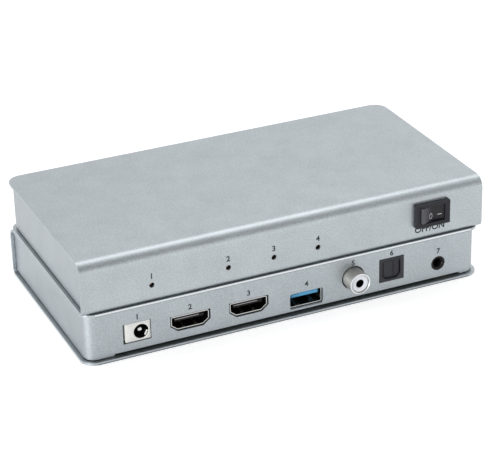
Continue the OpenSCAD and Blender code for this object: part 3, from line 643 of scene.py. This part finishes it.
def addPowerSocket(unitName):
    s = SimpleNamespace(**powerSocket)
    x = socketX["power"]
    boreX = x + s.boreShift
    face = unit.panelY + s.recess
    back = face + s.depth
    corners = boxCorners(s.width, s.height, x, s.z)
    middle = s.edge * s.edgeMiddle
    bm = bmesh.new()
    profile = [(back, s.edge), (back - s.edge, 0), (face + s.edge, 0), (face + middle, middle),
               (face, s.edge)]
    outer = outlineSkin(bm, corners, s.corner, profile)
    bm.faces.new(outer[0])
    bore = [(face, s.boreRadius + s.lip), (face + s.lip, s.boreRadius),
            (face + s.boreDepth, s.boreRadius)]
    inner = turnedSkin(bm, boreX, s.boreZ, bore[:2])
    # the bore is lined with a black insert
    lining = turnedSkin(bm, boreX, s.boreZ, bore[1:], "open", 1)
    bm.faces.new(lining[-1]).material_index = 1
    fillBetween(bm, [outer[-1], inner[0]])
    addPiece("dc_body_moulded", bm, unitName, [whiteAbs, blackPbt], ["dc_body"])

    bm = bmesh.new()
    pin = laidOut((*s.pinNose, s.pinEnd), face + s.pinRecess)
    turnedSkin(bm, boreX, s.boreZ, pin, "cap", 0, s.pinSides)
    turn = Matrix.Translation((boreX, 0, s.boreZ))
    turn = turn @ Matrix.Rotation(math.radians(90 - s.leafAngle), 4, "Y")
    leaf = laidOut(s.leafPath, face)
    addStrip(bm, 0, s.leafWidth, leaf, s.leafThick, turn)
    addPiece("dc_contacts_plated", bm, unitName, [nickelSheet], ["dc_contacts"])


# ---- coaxial socket

coaxSocket = dict(
    z=10.3, reach=6.0, radius=4.15, wall=0.6, tail=7.0, sides=96, rimEdge=0.11,
    rimOutside=((0.35, 0.0), (0.1, 0.1), (0.0, 0.28)),  # distance from the outside
    rimInside=((0.0, 0.12), (0.12, 0.0)),  # distance from the inside
    insulatorRecess=0.3, boreRadius=1.65, sleeveRadius=2.1, play=0.05,
    faceOutside=((0.35, 0.05), (0.3, 0.12), (0.0, 0.4)),
    faceInside=((0.0, 0.18), (0.05, 0.06), (0.2, 0.0), (0.45, 0.0)),
)


def addCoaxSocket(unitName):
    s = SimpleNamespace(**coaxSocket)
    x, z = socketX["coax"], s.z
    front = unit.panelY - s.reach
    back = unit.panelY + unit.sheet + s.tail
    inner = s.radius - s.wall
    profile = [(back, inner), (back, s.radius), *laidOut(s.rimOutside, front, s.radius, -1),
               *laidOut(s.rimInside, front, inner)]
    bm = bmesh.new()
    turnedSkin(bm, x, z, profile, "join", 0, s.sides)
    for face in bm.faces:  # the faced rim, brightened as a painted highlight
        if face.calc_center_median().y < front + s.rimEdge:
            face.material_index = 1
    addPiece("coax_barrel_turned", bm, unitName,
             [turnedNickel, rimHighlightNickel], ["coax_barrel"])

    start = front + s.insulatorRecess
    sleeve = s.sleeveRadius + s.play
    profile = [(back, sleeve), (back, inner - s.play), *laidOut(s.faceOutside, start, inner, -1),
               *laidOut(s.faceInside, start, s.boreRadius), (start + s.faceInside[-1][0], sleeve)]
    bm = bmesh.new()
    turnedSkin(bm, x, z, profile, "join", 0, s.sides)
    addPiece("coax_insulator_moulded", bm, unitName, [whiteAcetal],
             ["coax_insulator"])


# ---- optical socket

opticalSocket = dict(
    z=10.1, width=10.3, height=9.7, depth=13.0, proud=0.1,
    corner=0.2, edge=0.15, faceEdge=0.12,
    portWidth=7.6, portHeight=7.8, portCut=(1.5, 1.5), portCorner=0.7, portDepth=10.2,
    mouth=((0.0, 0.18), (0.06, 0.1), (0.18, 0.0)),  # depth, widening
    emitter=((1.5, 0.1), (1.4, 0.78), (1.1, 1.17), (0.8, 1.3), (0.05, 1.3)), emitterSides=32,
    doorRecess=0.6, doorThick=0.8, doorPlay=0.15, doorCorner=0.5, doorEdge=0.08,
    axisDrop=0.6, barrelRadius=0.55, barrelSides=32, pinRadius=0.45, pinLength=0.7, pinSides=24,
    # raised pads on the flap's face: sides, groove between them, cut corners
    padHeight=0.25, padLeft=0.5, padRight=0.4, grooveFrom=0.75, grooveTo=1.05,
    padCut=0.5, padLow=0.6, padCutTop=1.2, padTop=0.35, padCorner=0.12, padEdge=0.1,
)


def addOpticalSocket(unitName):
    s = SimpleNamespace(**opticalSocket)
    x, z = socketX["optical"], s.z
    front = unit.panelY - s.proud
    back = front + s.depth
    bm = bmesh.new()
    body = boxCorners(s.width, s.height, x, z)
    profile = [(back, s.edge), (back - s.edge, 0), (front + s.edge, 0), (front, s.faceEdge)]
    outer = outlineSkin(bm, body, s.corner, profile)
    bm.faces.new(outer[0])
    port = cutCorners(x, z, s.portWidth / 2, s.portHeight / 2, *s.portCut)
    end = front + s.portDepth
    inner = outlineSkin(bm, port, s.portCorner, [*laidOut(s.mouth, front, sign=-1), (end, 0)])
    bm.faces.new(inner[-1])
    fillBetween(bm, [outer[-1], inner[0]])
    emitter = [(end - ahead, radius) for ahead, radius in s.emitter]
    turnedSkin(bm, x, z, emitter, "cap", 1, s.emitterSides)
    addPiece("optical_body_moulded", bm, unitName,
             [charcoalAbs, clearEpoxy], ["optical_body"])

    bm = bmesh.new()
    flapY = front + s.doorRecess
    axisY = flapY + s.doorThick - s.pinRadius
    axisZ = z + s.portHeight / 2 - s.axisDrop
    width = s.portWidth - 2 * s.doorPlay
    low = z - s.portHeight / 2 + s.doorPlay
    flap = cutCorners(x, (axisZ + low) / 2, width / 2, (axisZ - low) / 2, *s.portCut)
    padY = flapY + s.padHeight
    addBar(bm, flap, padY, flapY + s.doorThick, s.doorCorner, s.doorEdge)
    top = axisZ - s.padTop
    for left, right, cut in ((s.padLeft - width / 2, s.grooveFrom, 0),
                             (s.grooveTo, width / 2 - s.padRight, s.padCut)):
        pad = [(x + left + s.padCut, low + s.padLow), (x + right - cut, low + s.padLow),
               (x + right, low + s.padCutTop), (x + right, top), (x + left, top),
               (x + left, low + s.padCutTop)]
        addBar(bm, pad, flapY, padY + s.padEdge, s.padCorner, s.padEdge)
    addRod(bm, x, axisY, axisZ, s.barrelRadius, width, s.barrelSides)
    addRod(bm, x, axisY, axisZ, s.pinRadius, s.portWidth + 2 * s.pinLength, s.pinSides)
    addPiece("optical_door_moulded", bm, unitName, [charcoalAbs],
             ["optical_door"], "door")


# ---- audio socket

audioSocket = dict(
    z=7.9, noseRadius=2.8, recess=0.1, boreRadius=1.8, boreLength=12.0,
    mouth=((0.45, 0.0), (0.12, 0.22), (0.08, 0.4), (0.0, 0.5)),  # depth, widening
    noseEdge=((0.0, 0.2), (0.06, 0.06), (0.2, 0.0)),  # distance from the outside
    bodyWidth=7.0, bodyLength=12.0, bodyTop=11.3, bodyCorner=0.25, bodyGap=0.05,
    # plated ring in the bore as (depth, distance from its wall)
    ring=((2.2, 0.02), (1.85, 0.02), (1.8, 0.12), (2.2, 0.12)),
)


def addAudioSocket(unitName):
    s = SimpleNamespace(**audioSocket)
    x, z = socketX["audio"], s.z
    front = unit.panelY + s.recess
    bodyY = unit.panelY + unit.sheet + s.bodyGap
    bm = bmesh.new()
    profile = [(front + s.boreLength, s.boreRadius), *laidOut(s.mouth, front, s.boreRadius),
               *laidOut(s.noseEdge, front, s.noseRadius, -1), (bodyY + s.bodyGap, s.noseRadius)]
    nose = turnedSkin(bm, x, z, profile)
    low = unit.boardTop
    body = boxCorners(s.bodyWidth, s.bodyTop - low, x, (s.bodyTop + low) / 2)
    loops = outlineSkin(bm, body, s.bodyCorner, [(bodyY, 0), (bodyY + s.bodyLength, 0)])
    bm.faces.new(loops[1])
    fillBetween(bm, [loops[0], nose[-1]])
    bm.faces.new(nose[0])
    addPiece("audio_jack_moulded", bm, unitName, [blackPbt], ["audio_jack"])

    bm = bmesh.new()
    turnedSkin(bm, x, z, laidOut(s.ring, front, s.boreRadius, -1), "join")
    addPiece("audio_ring", bm, unitName, [nickelSheet])


# ---- rocker switch

rockerSwitch = dict(
    x=-58.1, z=10.5,
    # corner radius, width, height
    bezel=(0.25, 14.2, 9.4), well=(0.3, 10.4, 6.6), body=(0.4, 13.2, 8.2),
    bezelThick=2.0, chamfer=0.16, chamferMiddle=0.3, rim=0.6, slope=0.3,
    wellDepth=6.5, wellFlare=0.02, wellLip=0.12,
    bodyLength=13.0, bodyEdge=0.2, bodySink=0.02, housingSteps=4,
    pivotOut=0.3, radius=5.05, height=6.3, crest=0.6, back=-2.0, angle=9.0,
    hollow=0.16, faceSteps=16, arcSteps=8, edge=0.22, edgeMiddle=0.3, edgeDrop=0.9,
    legHalf=1.2, legDrop=1.45, legRoot=0.1, pinRadius=0.8, pinLength=0.75, pinSides=24,
)
rockerMarks = dict(
    lift=0.02, sink=0.06, z=-0.9,
    ringX=0.75, ringInside=0.8, ringOutside=1.1, ringNarrow=0.68, ringTall=1.1, ringSides=40,
    dashX=-3.1, dashStep=0.45, dashHalf=0.16,
)


def addSwitch(unitName):
    s = SimpleNamespace(**rockerSwitch)
    m = SimpleNamespace(**rockerMarks)
    x, z, wall = s.x, s.z, unit.wallY
    top = wall + s.bezelThick
    bottom = wall - s.bodyLength
    c, middle = s.chamfer, s.chamfer * s.chamferMiddle
    bm = bmesh.new()
    bezel = [(wall, 0.0), (top - c, 0.0), (top - middle, middle), (top, c), (top, s.rim)]
    well = [(top - s.slope, -s.wellFlare), (top - s.slope - s.wellLip, 0.0),
            (top - s.wellDepth, 0.0)]
    behind = [(wall + s.bodySink, 0), (bottom + s.bodyEdge, 0), (bottom, s.bodyEdge)]

    def boxSkin(box, profile):
        corner, *size = box
        return outlineSkin(bm, boxCorners(*size, x, z), corner, profile, steps=s.housingSteps)

    outer, inner = boxSkin(s.bezel, bezel), boxSkin(s.well, well)
    count = len(outer[-1])
    for i in range(count):  # face that slopes from the rim to the well
        j = (i + 1) % count
        bm.faces.new((outer[-1][i], outer[-1][j], inner[0][j], inner[0][i]))
    bm.faces.new(inner[-1])
    body = boxSkin(s.body, behind)
    bm.faces.new(body[-1])
    fillBetween(bm, [outer[0], body[0]])
    addPiece("switch_housing_moulded", bm, unitName, [blackNylon],
             ["switch_housing"])

    # side view of the rocker: two sloping, slightly hollow faces that meet on a low crest
    pivot = Matrix.Translation((x, wall + s.pivotOut, z))
    pivot = pivot @ Matrix.Rotation(math.radians(s.angle), 4, "Z")
    rise = s.crest + s.radius * math.tan(math.radians(s.angle))
    reach = math.sqrt(s.radius ** 2 - rise ** 2)

    def faceHeight(share):
        away = abs(share)
        return s.crest + (rise - s.crest) * away - s.hollow * math.sin(math.pi * away)

    def turned(points, height):
        return [pivot @ Vector((px, py, height)) for px, py in points]

    high, low = math.asin(rise / s.radius), math.asin(s.back / s.radius)
    angles = [high + (low - high) * (k + 1) / s.arcSteps for k in range(s.arcSteps)]
    arc = [(s.radius * math.cos(a), s.radius * math.sin(a)) for a in angles]
    shares = [1 - 2 * i / s.faceSteps for i in range(s.faceSteps + 1)]
    side = arc[::-1] + [(reach * t, faceHeight(t)) for t in shares] + [(-px, py) for px, py in arc]
    half, edge = s.height / 2, s.edge
    near = edge * s.edgeMiddle
    bm = bmesh.new()
    rings = []
    for height, inset in ((-half, edge), (near - half, near), (edge - half, 0), (half - edge, 0),
                          (half - near, near), (half, edge)):
        narrower = 1 - inset / s.radius
        lower = inset * s.edgeDrop
        rings.append(turned([(px * narrower, py - (lower if py > 0 else 0)) for px, py in side],
                            height))
    skinRings(bm, rings)
    leg = [(s.legHalf, s.back - s.legDrop), (-s.legHalf, s.back - s.legDrop),
           (-s.legHalf, s.back + s.legRoot), (s.legHalf, s.back + s.legRoot)]
    skinRings(bm, [turned(leg, height) for height in (-half, half)])
    pin = [(s.pinRadius * math.cos(a), s.pinRadius * math.sin(a)) for a in turnAngles(s.pinSides)]
    for end in (-1, 1):  # a stub at each end: the valley stays clean
        skinRings(bm, [turned(pin, height * end) for height in (half, half + s.pinLength)])
    addPiece("switch_rocker_moulded", bm, unitName, [rockerNylon],
             ["switch_rocker"], "rocker")

    # pad-printed O and dash, laid on the sloping faces
    def onFace(px, sink, up):
        return pivot @ Vector((px, faceHeight(px / reach) + m.lift - sink, m.z + up))

    bm = bmesh.new()
    rings = []
    for sink, radius in ((0, m.ringInside), (0, m.ringOutside),
                         (m.sink, m.ringOutside), (m.sink, m.ringInside)):
        rings.append([onFace(m.ringX + radius * m.ringNarrow * math.cos(a), sink,
                             radius * m.ringTall * math.sin(a)) for a in turnAngles(m.ringSides)])
    skinRings(bm, rings, "join")
    section = [(0, -m.dashHalf), (0, m.dashHalf), (m.sink, m.dashHalf), (m.sink, -m.dashHalf)]
    skinRings(bm, [[onFace(m.dashX + m.dashStep * k, sink, up) for sink, up in section]
                   for k in (-2, -1, 0, 1, 2)])
    addPiece("switch_marks", bm, unitName, [markInk], (), "rocker")


# ---- lights

lights = dict(
    places=(53.504, 24.104, 6.2, -11.448), z=6.75, start=35.95, length=3.6, sides=32,
    # lens as (distance before its tip, radius)
    radius=0.85, nose=((0.55, 0.85), (0.3, 0.765), (0.12, 0.578), (0.02, 0.2975), (0.0, 0.03)),
    baseWidth=3.0, baseLength=4.0, baseHeight=3.1, baseCorner=0.2, baseEdge=0.12, lap=0.05,
)


def addLights(unitName):
    s = SimpleNamespace(**lights)
    bm = bmesh.new()
    for x in s.places:
        base = boxCorners(s.baseWidth, s.baseHeight, x, unit.boardTop + s.baseHeight / 2)
        face = s.start + s.lap
        addBar(bm, base, face - s.baseLength, face, s.baseCorner, s.baseEdge)
        tip = s.start + s.length
        lens = [(tip - before, radius) for before, radius in ((s.length, s.radius), *s.nose)]
        turnedSkin(bm, x, s.z, lens, "cap", 0, s.sides)
    addPiece("lights_cast", bm, unitName, [clearEpoxy], ["lights"])


# ---- printed marks: plain numbers at the sockets and lights, ON and OFF at the switch

prints = {
    "ink": 0.02, "inkProud": 0.4, "bold": 0.09, "curveSteps": 6,
    "numberSize": 2.9, "socketHeights": (14.8, 13.9, 13.9, 12.2, 16.2, 16.7, 13.0),
    "lightHeight": 10.2, "switchSize": 3.5, "switchShift": 0.4, "switchHeight": 4.35,
}


# text as a thin printed layer; facing is -1 for the socket panel and 1 for the closed wall
def addPrint(unitName, name, words, x, z, size, facing):
    font = bpy.data.curves.new(name, "FONT")
    font.body = words
    font.size = size
    font.align_x, font.align_y = "CENTER", "CENTER"
    font.offset = prints["bold"]
    font.resolution_u = prints["curveSteps"]
    font.extrude = prints["ink"] / 2
    holder = addObject(name, font)
    shown = holder.evaluated_get(bpy.context.evaluated_depsgraph_get())
    flat = bpy.data.meshes.new_from_object(shown)
    bpy.data.objects.remove(holder)
    bm = bmesh.new()
    bm.from_mesh(flat)
    surface = unit.panelY if facing < 0 else unit.wallY
    stand = Matrix.Rotation(math.pi / 2, 4, "X")
    if facing > 0:
        stand = Matrix.Rotation(math.pi, 4, "Z") @ stand
    y = surface + facing * prints["ink"] * prints["inkProud"]
    bm.transform(Matrix.Translation((x, y, z)) @ stand)
    addPiece(name, bm, unitName, [printInk])


for unitName in unitPlace:
    for label in ("video_in", "video_out"):
        addVideoSocket(unitName, label)
    for addSocket in (addDataSocket, addPowerSocket, addCoaxSocket, addOpticalSocket,
                      addAudioSocket):
        addSocket(unitName)
    print(unitName, "sockets made")
    addSwitch(unitName)
    addLights(unitName)
    print(unitName, "switch and lights made")
    for i, (x, z) in enumerate(zip(socketX.values(), prints["socketHeights"]), 1):
        addPrint(unitName, f"mark_socket_{i}", str(i), x, z, prints["numberSize"], -1)
    for i, x in enumerate(lights["places"], 1):
        addPrint(unitName, f"mark_light_{i}", str(i), x, prints["lightHeight"],
                 prints["numberSize"], 1)
    addPrint(unitName, "mark_switch", "OFF/ON", rockerSwitch["x"] + prints["switchShift"],
             prints["switchHeight"], prints["switchSize"], 1)
    print(unitName, "marks printed")

# ---- floor, light and camera; places are metres in the room

studio = {
    "floor": "#d4d4d4", "floorRoughness": 0.9, "floorShine": 0.2,
    "floorGlow": 0.45, "floorWhite": 0.6,  # added in reflections, and for the camera
    "floorSize": 6.0, "floorHeight": -0.00005, "level": 0.9,
    # soft spots of the room: direction, cosine where it starts and is full, change of level
    "spots": {
        "darkCeiling": ((0.1, -0.65, 0.72), 0.80, 0.96, -0.66),
        "brightHorizon": ((0.3, -0.95, 0.02), 0.90, 0.99, 0.7),
        "darkBack": ((-0.4, 0.9, 0.1), 0.80, 0.96, -0.6),
    },
    # area lamps: watts, size, place
    "lamps": {"top": (1.65, 0.5, (0.33, 0.27, 0.95)), "left": (5.0, 0.06, (-0.9, -0.39, 0.035))},
    "aim": (0, 0, 0.02),
}
bm = bmesh.new()
corners = boxCorners(studio["floorSize"], studio["floorSize"])
bm.faces.new([bm.verts.new((x, y, studio["floorHeight"])) for x, y in corners])
floorMesh = bpy.data.meshes.new("floor")
bm.to_mesh(floorMesh)
bm.free()
floor = addObject("floor", floorMesh)

# matt pale paper: brighter for the camera and in reflections, so that it reads as white
paper = bpy.data.materials.new("mattPaper")
paper.use_nodes = True
tree = paper.node_tree
shader = tree.nodes["Principled BSDF"]
shader.inputs["Base Color"].default_value = linearColour(studio["floor"])
shader.inputs["Roughness"].default_value = studio["floorRoughness"]
shader.inputs["Specular IOR Level"].default_value = studio["floorShine"]
rays = addNode(tree, "ShaderNodeLightPath")
seen = addNode(tree, "ShaderNodeMath", {"operation": "MAXIMUM"}, {
    0: rays.outputs["Is Glossy Ray"], 1: rays.outputs["Is Transmission Ray"]})
glow = addNode(tree, "ShaderNodeMath", {"operation": "MULTIPLY"}, {
    0: seen.outputs[0], 1: studio["floorGlow"]})
glow = addNode(tree, "ShaderNodeMath", {"operation": "MULTIPLY_ADD"}, {
    0: rays.outputs["Is Camera Ray"], 1: studio["floorWhite"], 2: glow.outputs[0]})
lift = addNode(tree, "ShaderNodeEmission", None, {
    "Color": (1, 1, 1, 1), "Strength": glow.outputs[0]})
both = addNode(tree, "ShaderNodeAddShader", None, {0: shader.outputs[0], 1: lift.outputs[0]})
# seen from below the floor is clear, so that the base shows
clear = addNode(tree, "ShaderNodeBsdfTransparent")
below = addNode(tree, "ShaderNodeNewGeometry").outputs["Backfacing"]
sides = addNode(tree, "ShaderNodeMixShader", None, {
    0: below, 1: both.outputs[0], 2: clear.outputs[0]})
tree.links.new(sides.outputs[0], tree.nodes["Material Output"].inputs["Surface"])
floorMesh.materials.append(paper)

# soft room: one pale level with three soft spots that the bends pick up; plain white if seen
world = bpy.data.worlds.new("softRoom")
bpy.context.scene.world = world
world.use_nodes = True
tree = world.node_tree
back = tree.nodes["Background"]
place = addNode(tree, "ShaderNodeTexCoord")
level = studio["level"]
for spotDirection, start, full, change in studio["spots"].values():
    towards = addNode(tree, "ShaderNodeVectorMath", {"operation": "DOT_PRODUCT"}, {
        0: place.outputs["Generated"], 1: Vector(spotDirection).normalized()})
    spot = addNode(tree, "ShaderNodeMapRange", {"interpolation_type": "SMOOTHSTEP"}, {
        "Value": towards.outputs["Value"], "From Min": start, "From Max": full, "To Max": change})
    level = addNode(tree, "ShaderNodeMath", {"operation": "ADD"}, {
        0: level, 1: spot.outputs[0]}).outputs[0]
rays = addNode(tree, "ShaderNodeLightPath")
shown = addNode(tree, "ShaderNodeMix", None, {0: rays.outputs["Is Camera Ray"], 2: level, 3: 1.0})
tree.links.new(shown.outputs[0], back.inputs["Strength"])
back.inputs["Color"].default_value = (1, 1, 1, 1)

for label, (power, size, lampPlace) in studio["lamps"].items():
    lamp = bpy.data.lights.new(label, "AREA")
    lamp.energy = power
    lamp.size = size
    holder = addObject(label, lamp)
    holder.location = lampPlace
    aim = Vector(studio["aim"]) - holder.location
    holder.rotation_euler = aim.to_track_quat("-Z", "Y").to_euler()

# camera fitted to the edges of both units in the photo
view = {"place": (-0.26152, -0.60409, 0.34256), "direction": (0.35758, 0.82308, -0.44122),
        "roll": -1.6, "lens": 141.04, "sensor": 36.0, "nearest": 0.01}
direction = Vector(view["direction"]).normalized()
sideways = direction.cross(Vector((0, 0, 1))).normalized()
upright = sideways.cross(direction)
roll = math.radians(view["roll"])
right = math.cos(roll) * sideways + math.sin(roll) * upright
up = -math.sin(roll) * sideways + math.cos(roll) * upright
camera = bpy.data.cameras.new("photoCamera")
camera.lens = view["lens"]
camera.sensor_width = view["sensor"]
camera.clip_start = view["nearest"]
cameraHolder = addObject("photoCamera", camera)
facing = Matrix((right, up, -direction)).transposed().to_4x4()
cameraHolder.matrix_world = Matrix.Translation(view["place"]) @ facing
bpy.context.scene.camera = cameraHolder
bpy.context.scene.view_settings.view_transform = "Standard"
print("studio ready")
